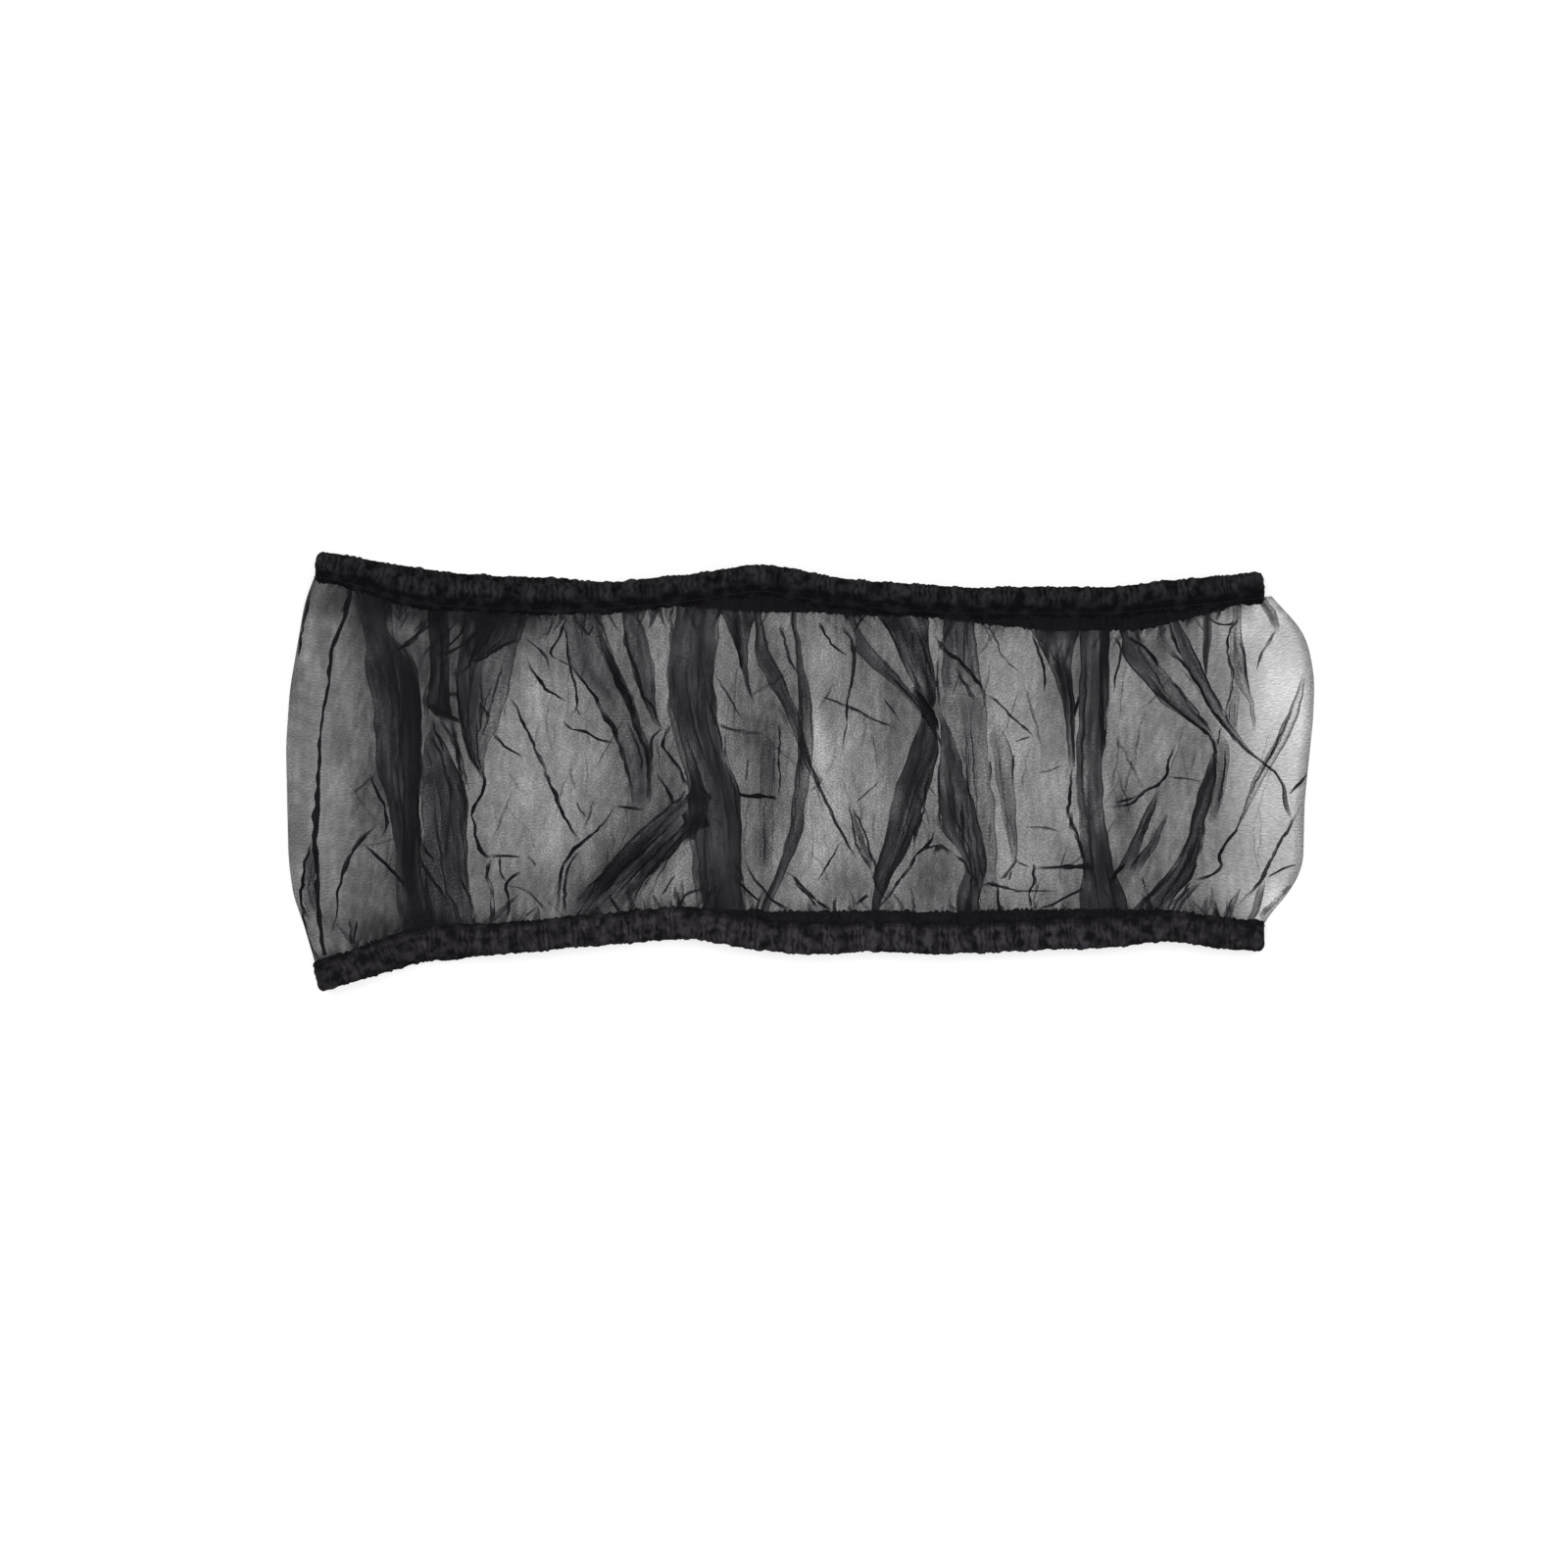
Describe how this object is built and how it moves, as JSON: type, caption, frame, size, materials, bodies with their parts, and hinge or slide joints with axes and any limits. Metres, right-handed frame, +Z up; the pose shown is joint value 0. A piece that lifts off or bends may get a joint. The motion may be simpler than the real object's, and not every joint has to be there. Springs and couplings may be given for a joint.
{
  "type": "birdcage seed guard skirt",
  "caption": "Sheer mesh sleeve with a gathered elastic hem along the top and the bottom, laid flat, for catching seed round a birdcage.",
  "frame": {"origin": "on the surface that the skirt is laid on, under the middle of its outline", "axes": "+X along the hems to the side away from the seam, +Y to the top hem, +Z up from the surface"},
  "size_m": [0.8145, 0.3493, 0.0166],
  "materials": {
    "mesh": "sheer woven nylon mesh, matt with a faint gleam",
    "seam": "four plies of mesh sewn together",
    "casing": "tightly gathered mesh",
    "elastic": "flat knitted elastic",
    "thread": "spun sewing thread"
  },
  "bodies": {
    "root": {"mesh_sleeve": "mesh", "side_seam": "seam", "top_casing": "casing", "bottom_casing": "casing", "top_elastic": "elastic", "bottom_elastic": "elastic", "top_elastic_tack": "thread", "bottom_elastic_tack": "thread", "top_hem_stitching": "thread", "bottom_hem_stitching": "thread"}
  },
  "joints": []
}
